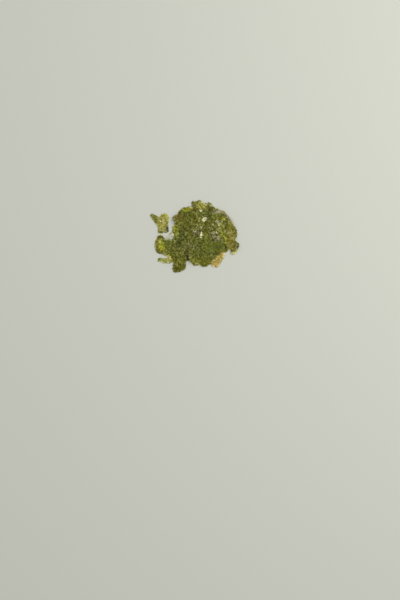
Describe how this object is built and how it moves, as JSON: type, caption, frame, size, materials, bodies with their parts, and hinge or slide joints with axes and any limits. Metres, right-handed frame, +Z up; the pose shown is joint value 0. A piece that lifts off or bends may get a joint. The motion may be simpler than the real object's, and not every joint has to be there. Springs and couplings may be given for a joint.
{
  "type": "green bubble weed",
  "caption": "Pressed, dried thallus of green bubble weed: a lobed, torn skin of round bubble cells, folded over on itself and lying flat.",
  "frame": {"origin": "middle of the flat spot that the thallus rests on, at the height of the surface under it", "axes": "+Z up off the surface, +X along the longest side and to the right in the picture, +Y toward the picture's top"},
  "size_m": [0.0688, 0.0562, 0.0046],
  "materials": {
    "dried_skin": "dried green alga skin, semi-matte, dark olive where it is folded double and yellow-green where it is single"
  },
  "bodies": {
    "root": {"thallus": "dried_skin"}
  },
  "joints": []
}
